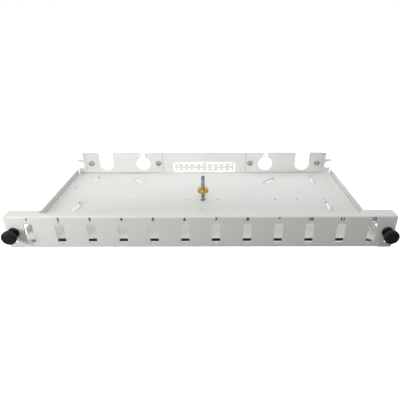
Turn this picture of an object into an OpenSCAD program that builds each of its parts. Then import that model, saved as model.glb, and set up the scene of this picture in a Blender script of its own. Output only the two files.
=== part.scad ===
// Rack-width pull-out tray for terminating optical fibre: folded sheet-steel panel and tray,
// two gland plates at the back, a splice stud with its thumb nut, and two push-pull latches.
// Millimetres. +X to the right, +Y to the back, +Z up, seen from the front.
// The origin is below the middle of the whole object, on the surface that it stands on.

/* [Sheet steel] */
// Thickness of the folded sheet
sheet = 1.2; // [0.9:0.1:1.6]
// Outer radius of each fold
fold_r = 2.2; // [1.8:0.1:3]

/* [Front panel] */
// Width over both ears
panel_w = 482.6; // [440:1:600]
// Height of the panel
panel_h = 44; // [42:1:56]
// Width of the fold along the bottom edge
fold_w = 450; // [410:1:560]
// Depth of the top flange between the ears
flange_depth = 10; // [8:1:13]
// Depth of the top flange at each end
end_flange_depth = 17; // [14:1:20]
// Width of the deep stretch of flange at each end
end_flange_w = 40; // [30:1:46]
// Depth of the bottom flange
sill_depth = 12.5; // [10:0.5:16]
// Radius of the ears' lower corners
ear_corner_r = 2.5; // [1:0.5:5]

/* [Ports] */
// Number of ports
port_count = 12; // [6:1:12]
// Distance from one port to the next
port_pitch = 38.7; // [34:0.1:39.5]
// Width of a port
port_w = 10.6; // [8:0.1:12]
// Height of a port
port_h = 26.6; // [22:0.1:28]
// Height of the ports' middle above the panel's lower edge
port_z = 20.4; // [19:0.1:22]
// Distance between the two fixing holes of a port
port_hole_span = 31; // [30:0.1:33]
// Diameter of a port's fixing holes
port_hole_d = 2.4; // [2:0.1:3]

/* [Tray] */
// Depth from the panel's face to the back of the rear wall
tray_depth = 250; // [225:1:320]
// Width over the side lips
tray_w = 470; // [460:1:590]
// Height of the side lips
lip_h = 10; // [6:0.5:12]
// Distance from the panel's face to the front end of the side lips
lip_start = 32; // [29:1:40]
// Gap left at the rear end of each side lip
lip_end_gap = 2; // [1.5:0.5:4]
// Width of the gap between the panel's bottom flange and the floor
front_gap = 7.5; // [5:0.5:9]
// Inner radius at the ends of that gap
front_gap_r = 4.5; // [3:0.5:5.5]

/* [Floor holes] */
// Diameter of the fixing holes in the floor
floor_hole_d = 3.4; // [2.5:0.1:4.5]
// Distances from the middle of the tray to the holes in line with the stud
row_holes_x = [23, 114.4, 149.7, 194]; // [20:0.1:210]
// Distance from a side lip to the holes beside it
side_holes_inset = 17; // [14:0.5:20]
// Distances from the rear wall to the holes beside a side lip
side_holes_y = [31, 67]; // [25:1:90]
// Distance from a side lip to the hole at its front end
front_hole_inset = 7.4; // [7:0.1:9]
// Distance from the front end of a side lip to that hole
front_hole_y = 4.5; // [3:0.5:8]
// Distance from the right side lip to the single hole in front of it
corner_hole_inset = 8; // [7:0.5:9]
// Distance from the front end of the side lip to the single hole
corner_hole_y = 4; // [3.8:0.1:5]
// Distance from the stud to the middle hole in front of it
middle_hole_y = 32.4; // [20:0.2:60]

/* [Rear wall] */
// Height of the rear wall
wall_h = 40.4; // [38:0.2:43]
// Width of the rear wall above the hooks
wall_top_w = 446.6; // [440:0.2:448]
// Width over the hooks
hook_w = 468; // [460:1:470]
// Height of the hooks' upper edge
hook_top = 27.4; // [26:0.2:29]
// Radius of the round notch under a hook
notch_r = 5.8; // [4.5:0.1:6.2]
// Height of the notch's middle
notch_z = 17.2; // [17:0.1:18.5]
// Distance from a hook's end to the notch's middle
notch_inset = 5.6; // [5.3:0.1:5.9]
// Rise of the hook's lower edge from the notch to the hook's end
hook_rise = 2.4; // [1:0.1:3]
// Height of the wall's lower corners, outside the hooks
wall_corner_h = 11.8; // [11.6:0.1:12]
// Width of the break-out panel in the middle of the wall
breakout_w = 114; // [104:1:140]
// Height of the break-out panel
breakout_h = 20; // [18:0.5:22]
// Height of the break-out panel's lower edge
breakout_low = 2.6; // [2.4:0.1:6]
// Width of the slots round the break-out panel
breakout_slot = 2.8; // [2:0.1:3.2]
// Width of the bridges that hold the break-out panel
breakout_bridge = 3; // [2:0.5:5]
// Number of holes in a row of the break-out panel
breakout_holes = 10; // [6:1:10]
// Distance between those holes
breakout_pitch = 10.8; // [9:0.1:11]
// Distance between the two rows
breakout_row_gap = 7; // [6:0.5:8]
// Diameter of those holes
breakout_hole_d = 4.2; // [3:0.1:5]

/* [Gland plates] */
// Thickness of a gland plate
plate_t = 1.2; // [1:0.1:2]
// Width of a gland plate
plate_w = 140; // [136:1:142]
// Height of a gland plate
plate_h = 37.6; // [36:0.2:39]
// Distance from the middle of the tray to the middle of a plate
plate_x = 147; // [145:1:150]
// Height by which a plate stands above the rear wall
plate_proud = 0.8; // [0:0.1:2]
// Radius of a plate's corners
plate_corner_r = 2.5; // [1:0.5:3]
// Width of the open cable slot
cable_slot_w = 25; // [20:0.5:26]
// Distance from the middle of the tray to the cable slot
cable_slot_x = 180; // [178:1:182]
// Diameter of the round cable hole
cable_hole_d = 25; // [20:0.5:26]
// Distance from the middle of the tray to the cable hole
cable_hole_x = 112.4; // [111:0.2:114]
// Width of the neck that opens the cable hole to the top edge
cable_neck_w = 7; // [5:0.5:10]
// Height of the middle of the cable slot's round end and of the cable hole
cable_z = 19.6; // [19:0.2:21]
// Width by which the wall's cut-outs exceed the plate's, on each side
wall_relief = 0.6; // [0.3:0.1:1]

/* [Gland plate fasteners] */
// Distance from the middle of the tray to the inner screw
screw_inner_x = 84.6; // [83:0.2:86]
// Distance from the middle of the tray to the outer screw
screw_outer_x = 207.4; // [206:0.2:209]
// Height of the screws
screw_z = 20.4; // [19:0.2:22]
// Diameter of a screw's shank
screw_d = 4; // [3:0.5:5]
// Diameter of a screw's head
screw_head_d = 8; // [7:0.5:9]
// Height of a screw's head
screw_head_h = 2.9; // [2.2:0.1:3.4]
// Width of the slots of a screw's cross recess
recess_w = 1; // [0.8:0.1:1.4]
// Depth of a screw's cross recess
recess_depth = 1.5; // [1:0.1:1.8]
// Length of the slotted hole under each screw
screw_slot_l = 11.4; // [9:0.2:12]
// Distance by which a slotted hole runs further out than in
screw_slot_shift = 1.2; // [0:0.1:2]
// Diameter of a lock washer
washer_d = 9.2; // [8.6:0.1:10]
// Thickness of a lock washer
washer_t = 0.8; // [0.6:0.1:1.2]
// Diameter of a clinch nut behind the wall
clinch_nut_d = 7.9; // [7.5:0.1:10]
// Height of a clinch nut behind the wall
clinch_nut_h = 2; // [1.5:0.1:3]
// Diameter of the collar that is pressed into the wall
clinch_collar_d = 5.4; // [5.2:0.1:6.5]

/* [Splice stud] */
// Distance from the panel's face to the stud
stud_y = 135; // [128:1:142]
// Diameter of the stud
stud_d = 6; // [5:0.5:8]
// Height of the stud above the floor
stud_h = 40; // [34:1:42]
// Diameter of the stud's flush head
stud_head_d = 9; // [8.5:0.5:11]
// Chamfer at the stud's end
stud_chamfer = 0.8; // [0.4:0.1:1.2]
// Diameter of the thumb nut
thumb_nut_d = 17.5; // [14:0.5:20]
// Height of the thumb nut
thumb_nut_h = 5.6; // [4:0.2:8]
// Height of the thumb nut's underside above the floor
thumb_nut_z = 14; // [8:0.5:20]
// Number of grooves round the thumb nut
thumb_nut_grooves = 30; // [20:1:36]
// Radius of those grooves
thumb_nut_groove_r = 0.6; // [0.4:0.1:0.7]
// Chamfer of the thumb nut's rims
thumb_nut_chamfer = 0.5; // [0.3:0.1:0.8]

/* [Latches] */
// Distance from the middle of the panel to a latch
latch_x = 232.2; // [212:0.2:291]
// Height of a latch above the panel's lower edge
latch_z = 22; // [20:0.5:28]
// Diameter of the plunger's head
knob_d = 18; // [15:0.5:18.2]
// Thickness of the plunger's head
knob_t = 6.2; // [5:0.2:8]
// Radius of the head's front edge
knob_round = 2; // [1:0.1:2.4]
// Step of the head's rear edge
knob_step = 0.8; // [0.4:0.1:1.2]
// Diameter of the plunger's shank
plunger_d = 5; // [4:0.2:5.6]
// Travel of the plunger from pulled out to pushed in
latch_travel = 6; // [4:0.5:7]
// Diameter of the grommet's flange
collar_d = 13.4; // [12:0.2:15]
// Thickness of the grommet's flange
collar_t = 3; // [2:0.2:4]
// Diameter of the grommet's barrel
barrel_d = 9; // [8:0.1:9.6]
// Length of the grommet's legs behind the panel
leg_l = 16; // [12:0.5:18]
// Width by which the legs' barbs stand out behind the ear
barb = 0.6; // [0.4:0.1:0.8]
// Length of a barb's steep side
barb_l = 1.5; // [1:0.1:2]
// Length by which the plunger stays inside the legs when it is pulled out
plunger_inset = 3; // [2:0.5:4]
// Width of the slots between the legs
leg_slot = 1.4; // [1:0.1:2]
// Distance from a latch down to the small hole in the ear
ear_hole_drop = 14; // [12:0.5:15]
// Diameter of the small hole in the ear
ear_hole_d = 3; // [2:0.1:4]

/* [Tie bridges] */
// Length of a tie bridge
bridge_l = 30; // [24:1:32]
// Width of a tie bridge
bridge_w = 4.6; // [3:0.2:6]
// Height of a tie bridge's top above the floor
bridge_rise = 4.6; // [3.6:0.2:6]
// Gap beside a tie bridge
bridge_gap = 0.4; // [0.3:0.1:1]
// Distance from the middle of the tray to the rear tie bridges
rear_bridge_x = 192.5; // [170:0.5:208]
// Distance from the rear wall to the rear tie bridges
rear_bridge_y = 38; // [30:1:60]
// Distance from the middle of the tray to the slanted tie bridges
slant_bridge_x = 114; // [90:1:150]
// Distance from the rear wall to the slanted tie bridges
slant_bridge_y = 39; // [30:1:60]
// Angle at which those bridges slant
slant_bridge_turn = 45; // [30:1:60]
// Distance from the middle of the tray to the front tie bridges
front_bridge_x = 194; // [170:0.5:208]
// Distance from the stud's row to the front tie bridges
front_bridge_y = 26; // [22:1:50]

/* [Fits] */
// Radial clearance of a sliding fit
slide_fit = 0.08; // [0.03:0.01:0.1]
// Radial clearance of a pressed or screwed piece
press_fit = 0.02; // [0.01:0.01:0.05]
// Radial clearance of a screw's hole
screw_fit = 0.2; // [0.1:0.05:0.4]
// Gap that a stop leaves
stop_gap = 0.3; // [0.3:0.1:0.6]

/* [Hidden] */
$fn = 64;
SIDES = ["left", "right"];

steel = "gainsboro";
zinc = "silver";
brass = "goldenrod";
nylon = "#202022";

cut = 1;                                    // how far a cutting shape runs past what it cuts
fold_in = fold_r - sheet;
wall_y = tray_depth - sheet;                // inner face of the rear wall
plate_y = wall_y - plate_t;                 // front face of the gland plates
washer_y = plate_y - washer_t;
knob_gap = latch_travel + stop_gap;
knob_front = collar_t + knob_gap + knob_t;  // how far the pulled knobs stand out of the panel
middle_y = (tray_depth + clinch_nut_h - knob_front) / 2;
gap_bend_x = fold_w / 2 + press_fit - front_gap - front_gap_r;
gap_bend_y = sill_depth - front_gap_r;
gap_outer_r = front_gap + front_gap_r;
floor_front = sill_depth + front_gap;
notch_x = hook_w / 2 - notch_inset;
breakout_z = breakout_low + breakout_h / 2;
plate_z = wall_h + plate_proud - plate_h / 2;
slot_reach = (screw_slot_l - screw_d) / 2 - screw_fit;  // from a slotted hole's middle to its ends' centres
bridge_cut = sheet / 3;                     // how much shorter a tie bridge is underneath than on top
seat = 0.1;                                 // length of the grommet's barrel behind the ear

// Places the whole object with its middle over the origin
module placed() translate([0, -middle_y, 0]) children();

// Extrudes an outline drawn in Y and Z along X, centred
module along_x(width) rotate([90, 0, 90]) linear_extrude(width, center = true) children();

// Extrudes an outline drawn in X and Z towards +Y, from y
module along_y(y, depth) translate([0, y + depth, 0]) rotate([90, 0, 0]) linear_extrude(depth) children();

// A hole along Y through a sheet that starts at y
module hole_y(x, z, d, y, depth)
    translate([x, y - cut, z]) rotate([-90, 0, 0]) cylinder(d = d, h = depth + 2 * cut);

// A hole through the floor
module floor_hole(x, y, d) translate([x, y, -cut]) cylinder(d = d, h = sheet + 2 * cut);

// A quarter of a folded edge: its square corner is at the origin, its arms run along +x and +y
module fold_corner() intersection() {
    translate([fold_r, fold_r]) difference() {
        circle(fold_r);
        circle(fold_in);
    }
    square(fold_r);
}

// A rectangle with round corners, centred
module round_rect(w, h, r) {
    square([w - 2 * r, h], center = true);
    square([w, h - 2 * r], center = true);
    for (x = [-1, 1], z = [-1, 1]) translate([x * (w / 2 - r), z * (h / 2 - r)]) circle(r);
}

// What is cut away to round a square corner at the origin, whose arms run along +x and +y
module corner_waste(r) difference() {
    translate([-cut, -cut]) square(r + cut);
    translate([r, r]) circle(r);
}

// Outline of the panel: plate, top fold and top flange, which is `depth` deep
module panel_outline(depth, low_z) {
    translate([0, low_z]) square([sheet, panel_h - fold_r - low_z]);
    translate([0, panel_h]) mirror([0, 1]) fold_corner();
    translate([fold_r, panel_h - sheet]) square([depth - fold_r, sheet]);
}

// Outline of the panel's bottom flange, seen from above, with the gap's inner radius at its ends
module sill_area() {
    half = gap_bend_x + front_gap_r;
    translate([-half, -cut]) square([2 * half, gap_bend_y + cut]);
    translate([-gap_bend_x, -cut]) square([2 * gap_bend_x, sill_depth + cut]);
    for (x = [-1, 1]) translate([x * gap_bend_x, gap_bend_y]) circle(front_gap_r);
}

// What the floor leaves free round the bottom flange
module front_gap_area() {
    half = gap_bend_x + gap_outer_r;
    translate([-half, -cut]) square([2 * half, gap_bend_y + cut]);
    translate([-gap_bend_x, -cut]) square([2 * gap_bend_x, floor_front + cut]);
    for (x = [-1, 1]) translate([x * gap_bend_x, gap_bend_y]) circle(gap_outer_r);
}

// The folded front panel, with its ports, fixing holes and latch holes
module front_panel() color(steel) placed() difference() {
    union() {
        along_x(panel_w) panel_outline(flange_depth, fold_r);
        for (side = [-1, 1]) {
            ear = (panel_w - fold_w) / 2;
            translate([side * (panel_w - ear) / 2, 0, 0]) along_x(ear) panel_outline(flange_depth, 0);
            translate([side * (panel_w - end_flange_w) / 2, 0, 0])
                along_x(end_flange_w) panel_outline(end_flange_depth, fold_r);
        }
        along_x(fold_w) fold_corner();
        intersection() {
            linear_extrude(sheet) sill_area();
            translate([-fold_w / 2, fold_r, -cut]) cube([fold_w, sill_depth, sheet + 2 * cut]);
        }
    }
    for (i = [0 : port_count - 1]) {
        x = (i - (port_count - 1) / 2) * port_pitch;
        translate([x - port_w / 2, -cut, port_z - port_h / 2]) cube([port_w, sheet + 2 * cut, port_h]);
        for (z = [-1, 1]) hole_y(x, port_z + z * port_hole_span / 2, port_hole_d, 0, sheet);
    }
    for (side = [-1, 1]) {
        hole_y(side * latch_x, latch_z, barrel_d + 2 * press_fit, 0, sheet);
        hole_y(side * latch_x, latch_z - ear_hole_drop, ear_hole_d, 0, sheet);
        mirror([(1 - side) / 2, 0, 0]) translate([panel_w / 2, -cut, 0]) mirror([1, 0, 0])
            along_y(0, sheet + 2 * cut) corner_waste(ear_corner_r);
    }
}

// Outline of the rear wall in X and Z, above the fold
module wall_outline() difference() {
    union() {
        translate([-wall_top_w / 2, fold_r]) square([wall_top_w, wall_h - fold_r]);
        translate([-hook_w / 2, notch_z]) square([hook_w, hook_top - notch_z]);
        translate([-(tray_w / 2 - fold_r), fold_r])
            square([tray_w - 2 * fold_r, wall_corner_h - fold_r]);
    }
    for (side = [-1, 1]) mirror([(1 - side) / 2, 0]) {
        translate([notch_x, notch_z]) circle(notch_r);
        polygon([
            [notch_x, notch_z + notch_r], [hook_w / 2 + cut, notch_z + notch_r + hook_rise],
            [hook_w / 2 + cut, notch_z], [notch_x, notch_z]
        ]);
    }
}

// Outline of the cable slot and the round cable hole of one side, `more` wider all round
module cable_openings(more) {
    top = wall_h + plate_h;
    translate([cable_slot_x, cable_z]) circle(cable_slot_w / 2 + more);
    translate([cable_slot_x - cable_slot_w / 2 - more, cable_z]) square([cable_slot_w + 2 * more, top]);
    translate([cable_hole_x, cable_z]) circle(cable_hole_d / 2 + more);
    translate([cable_hole_x - cable_neck_w / 2 - more, cable_z]) square([cable_neck_w + 2 * more, top]);
}

// Outline of the slots and holes of the break-out panel
module breakout_cuts() translate([0, breakout_z]) {
    near = breakout_bridge / 2;
    far = breakout_w / 2 - breakout_slot - breakout_bridge / 2;
    translate([-breakout_w / 2, -breakout_h / 2]) square([breakout_w, breakout_slot]);
    for (side = [-1, 1]) {
        translate([side * (breakout_w - breakout_slot) / 2, -breakout_slot / 2])
            square([breakout_slot, breakout_h - breakout_slot], center = true);
        translate([side * (near + far) / 2, (breakout_h - breakout_slot) / 2])
            square([far - near, breakout_slot], center = true);
    }
    for (i = [0 : breakout_holes - 1], row = [-1, 1])
        translate([(i - (breakout_holes - 1) / 2) * breakout_pitch, row * breakout_row_gap / 2])
            circle(breakout_hole_d / 2);
}

// A strip lanced out of the floor, that a cable tie goes under
module tie_bridge() rotate([90, 0, 0]) linear_extrude(bridge_w, center = true) {
    half = bridge_l / 2;
    slope = bridge_rise;
    top = sheet + bridge_rise;
    polygon([
        [-half, 0], [-half, sheet], [slope - half, top], [half - slope, top], [half, sheet], [half, 0],
        [half - slope - bridge_cut, top - sheet], [slope + bridge_cut - half, top - sheet]
    ]);
}

// The opening under a tie bridge
module tie_opening()
    translate([0, 0, sheet / 2])
        cube([bridge_l - 2 * bridge_gap, bridge_w + 2 * bridge_gap, sheet + 2 * cut], center = true);

// Puts its children at the six places of the tie bridges
module at_tie_bridges() for (side = [0, 1]) mirror([side, 0, 0]) {
    translate([-rear_bridge_x, wall_y - rear_bridge_y, 0]) rotate(90) children();
    translate([-slant_bridge_x, wall_y - slant_bridge_y, 0]) rotate(-slant_bridge_turn) children();
    translate([-front_bridge_x, stud_y - front_bridge_y, 0]) rotate(90) children();
}

// One side lip with its fold, on the right-hand side
module side_lip() {
    length = wall_y - lip_end_gap - lip_start;
    translate([0, lip_start, 0]) mirror([0, 1, 0]) rotate([90, 0, 0]) linear_extrude(length) {
        translate([tray_w / 2, 0]) mirror([1, 0]) fold_corner();
        translate([tray_w / 2 - sheet, fold_r]) square([sheet, lip_h - fold_r]);
    }
}

// The floor, side lips and rear wall, folded from one sheet
module tray() color(steel) placed() difference() {
    union() {
        difference() {
            union() {
                translate([-tray_w / 2, sheet, 0]) cube([tray_w, lip_start - lip_end_gap - sheet, sheet]);
                translate([fold_r - tray_w / 2, sheet, 0])
                    cube([tray_w - 2 * fold_r, tray_depth - fold_r - sheet, sheet]);
            }
            translate([0, 0, -cut]) linear_extrude(sheet + 2 * cut) front_gap_area();
            at_tie_bridges() tie_opening();
        }
        for (side = [0, 1]) mirror([side, 0, 0]) side_lip();
        translate([0, tray_depth, 0]) mirror([0, 1, 0]) along_x(tray_w - 2 * fold_r) fold_corner();
        along_y(wall_y, sheet) wall_outline();
        at_tie_bridges() tie_bridge();
    }
    along_y(wall_y - cut, sheet + 2 * cut) {
        breakout_cuts();
        for (side = [0, 1]) mirror([side, 0]) cable_openings(wall_relief);
    }
    for (side = [-1, 1]) {
        for (x = [screw_inner_x, screw_outer_x])
            hole_y(side * x, screw_z, clinch_collar_d + 2 * press_fit, wall_y, sheet);
        for (x = row_holes_x) floor_hole(side * x, stud_y, floor_hole_d);
        for (y = side_holes_y) floor_hole(side * (tray_w / 2 - side_holes_inset), wall_y - y, floor_hole_d);
        floor_hole(side * (tray_w / 2 - front_hole_inset), lip_start + front_hole_y, floor_hole_d);
    }
    floor_hole(tray_w / 2 - corner_hole_inset, lip_start - corner_hole_y, floor_hole_d);
    floor_hole(0, stud_y - middle_hole_y, floor_hole_d);
    floor_hole(0, stud_y, stud_head_d + 2 * press_fit);
}

// A gland plate for the right-hand side, screwed to the inside of the rear wall
module gland_plate() along_y(plate_y, plate_t) difference() {
    translate([plate_x, plate_z]) round_rect(plate_w, plate_h, plate_corner_r);
    cable_openings(0);
    for (x = [screw_inner_x - screw_slot_shift, screw_outer_x + screw_slot_shift]) translate([x, screw_z]) {
        square([2 * slot_reach, screw_d + 2 * screw_fit], center = true);
        for (end = [-1, 1]) translate([end * slot_reach, 0]) circle(screw_d / 2 + screw_fit);
    }
}
module gland_plate_left() color(steel) placed() mirror([1, 0, 0]) gland_plate();
module gland_plate_right() color(steel) placed() gland_plate();

// Puts a fastener's shape on one screw's axis, from y towards the back
module on_screw(x, y) placed() translate([x, y, screw_z]) rotate([-90, 0, 0]) children();

// A pan-head screw with a cross recess, its head towards the front
module gland_screw(x) color(zinc) on_screw(x, washer_y) difference() {
    rim_h = screw_head_h * 0.6;
    face_d = screw_head_d * 0.72;
    union() {
        cylinder(d = screw_d, h = washer_t + plate_t + sheet + clinch_nut_h);
        translate([0, 0, -rim_h]) cylinder(d = screw_head_d, h = rim_h);
        translate([0, 0, -screw_head_h]) cylinder(d1 = face_d, d2 = screw_head_d, h = screw_head_h - rim_h);
    }
    for (turn = [0, 90]) rotate(turn) translate([0, 0, -screw_head_h])
        cube([screw_head_d * 0.56, recess_w, 2 * recess_depth], center = true);
}

// A lock washer under a screw's head
module lock_washer(x) color(zinc) on_screw(x, washer_y) difference() {
    cylinder(d = washer_d, h = washer_t);
    translate([0, 0, -cut]) cylinder(d = screw_d + 2 * screw_fit, h = washer_t + 2 * cut);
}

// A clinch nut pressed into the rear wall from behind
module clinch_nut(x) color(zinc) on_screw(x, wall_y) difference() {
    union() {
        cylinder(d = clinch_collar_d, h = sheet + clinch_nut_h);
        translate([0, 0, sheet]) cylinder(d = clinch_nut_d, h = clinch_nut_h);
    }
    translate([0, 0, -cut]) cylinder(d = screw_d + 2 * press_fit, h = sheet + clinch_nut_h + 2 * cut);
}

module gland_screw_left_outer() gland_screw(-screw_outer_x);
module gland_screw_left_inner() gland_screw(-screw_inner_x);
module gland_screw_right_inner() gland_screw(screw_inner_x);
module gland_screw_right_outer() gland_screw(screw_outer_x);
module lock_washer_left_outer() lock_washer(-screw_outer_x);
module lock_washer_left_inner() lock_washer(-screw_inner_x);
module lock_washer_right_inner() lock_washer(screw_inner_x);
module lock_washer_right_outer() lock_washer(screw_outer_x);
module clinch_nut_left_outer() clinch_nut(-screw_outer_x);
module clinch_nut_left_inner() clinch_nut(-screw_inner_x);
module clinch_nut_right_inner() clinch_nut(screw_inner_x);
module clinch_nut_right_outer() clinch_nut(screw_outer_x);

// The threaded stud that splice trays stack on, clinched flush into the floor
module splice_stud() color(zinc) placed() translate([0, stud_y, 0]) {
    cylinder(d = stud_head_d, h = sheet);
    straight = sheet + stud_h - stud_chamfer;
    cylinder(d = stud_d, h = straight);
    translate([0, 0, straight]) cylinder(d1 = stud_d, d2 = stud_d - 2 * stud_chamfer, h = stud_chamfer);
}

// The knurled nut that clamps the splice trays down
module thumb_nut() color(brass) placed() translate([0, stud_y, sheet + thumb_nut_z]) difference() {
    bevel = thumb_nut_chamfer;
    rim_d = thumb_nut_d - 2 * bevel;
    union() {
        translate([0, 0, bevel]) cylinder(d = thumb_nut_d, h = thumb_nut_h - 2 * bevel);
        cylinder(d1 = rim_d, d2 = thumb_nut_d, h = bevel);
        translate([0, 0, thumb_nut_h - bevel]) cylinder(d1 = thumb_nut_d, d2 = rim_d, h = bevel);
    }
    translate([0, 0, -cut]) cylinder(r = stud_d / 2 + slide_fit, h = thumb_nut_h + 2 * cut);
    for (i = [0 : thumb_nut_grooves - 1]) rotate(i * 360 / thumb_nut_grooves)
        translate([thumb_nut_d / 2 + thumb_nut_groove_r / 3, 0, -cut])
            cylinder(r = thumb_nut_groove_r, h = thumb_nut_h + 2 * cut, $fn = 16);
}

// The split grommet that snaps into the ear: its legs spread behind the panel
module latch_grommet(x) color(nylon) placed() translate([x, 0, latch_z]) rotate([-90, 0, 0]) difference() {
    union() {
        translate([0, 0, -collar_t]) cylinder(d = collar_d, h = collar_t);
        cylinder(d = barrel_d, h = sheet + seat);
        translate([0, 0, sheet + seat]) cylinder(d1 = barrel_d, d2 = barrel_d + 2 * barb, h = barb_l);
        translate([0, 0, sheet + seat + barb_l])
            cylinder(d1 = barrel_d + 2 * barb, d2 = barrel_d - 2 * barb, h = leg_l - seat - barb_l);
    }
    translate([0, 0, -collar_t - cut])
        cylinder(r = plunger_d / 2 + slide_fit, h = collar_t + sheet + leg_l + 2 * cut);
    for (turn = [45, 135]) rotate(turn)
        translate([-barrel_d, -leg_slot / 2, sheet + seat]) cube([2 * barrel_d, leg_slot, leg_l + cut]);
}
module latch_grommet_left() latch_grommet(-latch_x);
module latch_grommet_right() latch_grommet(latch_x);

// The plunger, pulled out: a mushroom head on a round shank that slides in the grommet
module latch_plunger(x) color(nylon) placed()
    translate([x, -collar_t - knob_gap, latch_z]) rotate([-90, 0, 0]) {
        reach = knob_gap + collar_t + sheet + leg_l - plunger_inset;
        tip = 1;
        translate([0, 0, -knob_t]) rotate_extrude() {
            square([knob_d / 2 - knob_round, knob_t]);
            translate([0, knob_round]) square([knob_d / 2, knob_t - knob_round - knob_step]);
            intersection() {
                translate([knob_d / 2 - knob_round, knob_round]) circle(knob_round);
                square([knob_d / 2, knob_t]);
            }
            translate([0, knob_t - 2 * knob_step]) square([knob_d / 2 - knob_step, 2 * knob_step]);
        }
        cylinder(d = plunger_d, h = reach);
        translate([0, 0, reach]) cylinder(d1 = plunger_d, d2 = plunger_d - 2 * tip, h = tip);
    }
module latch_plunger_left() latch_plunger(-latch_x);
module latch_plunger_right() latch_plunger(latch_x);

front_panel();
tray();
gland_plate_left();
gland_plate_right();
gland_screw_left_outer();
gland_screw_left_inner();
gland_screw_right_inner();
gland_screw_right_outer();
lock_washer_left_outer();
lock_washer_left_inner();
lock_washer_right_inner();
lock_washer_right_outer();
clinch_nut_left_outer();
clinch_nut_left_inner();
clinch_nut_right_inner();
clinch_nut_right_outer();
splice_stud();
thumb_nut();
latch_grommet_left();
latch_grommet_right();
latch_plunger_left();
latch_plunger_right();
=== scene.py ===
"""Looks for a rack-width pull-out tray that terminates optical fibre.

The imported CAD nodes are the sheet-metal work: they keep their meshes and get painted. The small
pieces that a hand touches, the numbers, the latches, the fasteners, the stud and its nut, are
modelled here at the places and sizes of their CAD nodes. Lengths in the classes are millimetres.
"""

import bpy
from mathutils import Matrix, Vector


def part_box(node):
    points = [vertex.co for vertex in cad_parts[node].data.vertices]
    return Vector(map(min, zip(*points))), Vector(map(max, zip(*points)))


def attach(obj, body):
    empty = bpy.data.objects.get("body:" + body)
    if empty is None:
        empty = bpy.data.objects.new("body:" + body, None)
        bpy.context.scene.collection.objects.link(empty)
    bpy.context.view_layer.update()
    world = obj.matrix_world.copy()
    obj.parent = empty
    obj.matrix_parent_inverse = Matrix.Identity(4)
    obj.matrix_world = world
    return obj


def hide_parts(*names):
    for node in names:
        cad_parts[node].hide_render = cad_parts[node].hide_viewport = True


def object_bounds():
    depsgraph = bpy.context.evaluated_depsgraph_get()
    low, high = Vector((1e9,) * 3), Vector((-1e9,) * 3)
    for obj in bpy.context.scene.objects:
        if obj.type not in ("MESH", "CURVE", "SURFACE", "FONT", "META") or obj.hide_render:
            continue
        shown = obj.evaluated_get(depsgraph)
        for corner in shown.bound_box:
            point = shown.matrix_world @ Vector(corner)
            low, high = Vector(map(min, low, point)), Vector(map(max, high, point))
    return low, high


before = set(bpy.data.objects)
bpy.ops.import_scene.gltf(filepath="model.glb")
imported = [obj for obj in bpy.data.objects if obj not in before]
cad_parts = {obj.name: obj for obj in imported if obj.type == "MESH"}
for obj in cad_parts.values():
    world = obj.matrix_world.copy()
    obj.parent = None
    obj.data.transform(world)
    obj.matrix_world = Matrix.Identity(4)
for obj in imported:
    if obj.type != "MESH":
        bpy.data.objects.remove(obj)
CAD_BOX = [list(corner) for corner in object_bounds()]

import logging
import math
from dataclasses import dataclass
from enum import Enum
from typing import Callable, Iterable, Optional, Sequence

import bpy
from mathutils import Matrix, Vector

MM = 0.001
FRAME_BODY = "tray_frame"
log = logging.getLogger("termination_tray")

Profile = list[tuple[float, float]]
Test = Callable[[Vector, Vector], bool]


# ---------------------------------------------------------------- modelling by hand


class Select(Enum):
    """What an edit selects, with Blender's vertex, edge and face switches."""

    VERTS = (True, False, False)
    EDGES = (False, True, False)
    FACES = (False, False, True)


class Cut(Enum):
    """How one solid changes another."""

    REMOVE = "DIFFERENCE"
    KEEP_COMMON = "INTERSECT"


def make_active(piece: bpy.types.Object) -> None:
    """Selects one object alone and makes it active.

    Args:
        piece: The object.
    """
    if bpy.context.object is not None and bpy.context.object.mode != "OBJECT":
        bpy.ops.object.mode_set(mode="OBJECT")
    bpy.ops.object.select_all(action="DESELECT")
    piece.hide_viewport = False
    piece.select_set(True)
    bpy.context.view_layer.objects.active = piece


def begin_edit(piece: bpy.types.Object, kind: Select, everything: bool = False) -> None:
    """Opens a piece in edit mode, with nothing or everything selected.

    Args:
        piece: The mesh object.
        kind: What is selected from now on.
        everything: Whether all of it starts selected.
    """
    make_active(piece)
    bpy.context.tool_settings.mesh_select_mode = kind.value
    bpy.ops.object.mode_set(mode="EDIT")
    bpy.ops.mesh.select_all(action="SELECT" if everything else "DESELECT")


def end_edit() -> None:
    """Goes back to object mode."""
    bpy.ops.object.mode_set(mode="OBJECT")


def select_faces(piece: bpy.types.Object, test: Test) -> None:
    """Opens a piece in edit mode with the faces selected that pass a test.

    Args:
        piece: The mesh object.
        test: Takes a face's centre, in millimetres, and its normal.
    """
    begin_edit(piece, Select.FACES)
    end_edit()
    for face in piece.data.polygons:
        face.select = test(face.center / MM, face.normal)
    bpy.ops.object.mode_set(mode="EDIT")


def select_edges(piece: bpy.types.Object, test: Test) -> None:
    """Opens a piece in edit mode with the edges selected that pass a test.

    Args:
        piece: The mesh object.
        test: Takes an edge's two ends, in millimetres.
    """
    begin_edit(piece, Select.EDGES)
    end_edit()
    points = piece.data.vertices
    for edge in piece.data.edges:
        edge.select = test(points[edge.vertices[0]].co / MM, points[edge.vertices[1]].co / MM)
    bpy.ops.object.mode_set(mode="EDIT")


def apply_modifiers(piece: bpy.types.Object) -> None:
    """Applies every modifier of a piece, in order.

    Args:
        piece: The mesh object.
    """
    make_active(piece)
    for modifier in list(piece.modifiers):
        bpy.ops.object.modifier_apply(modifier=modifier.name)


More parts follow.
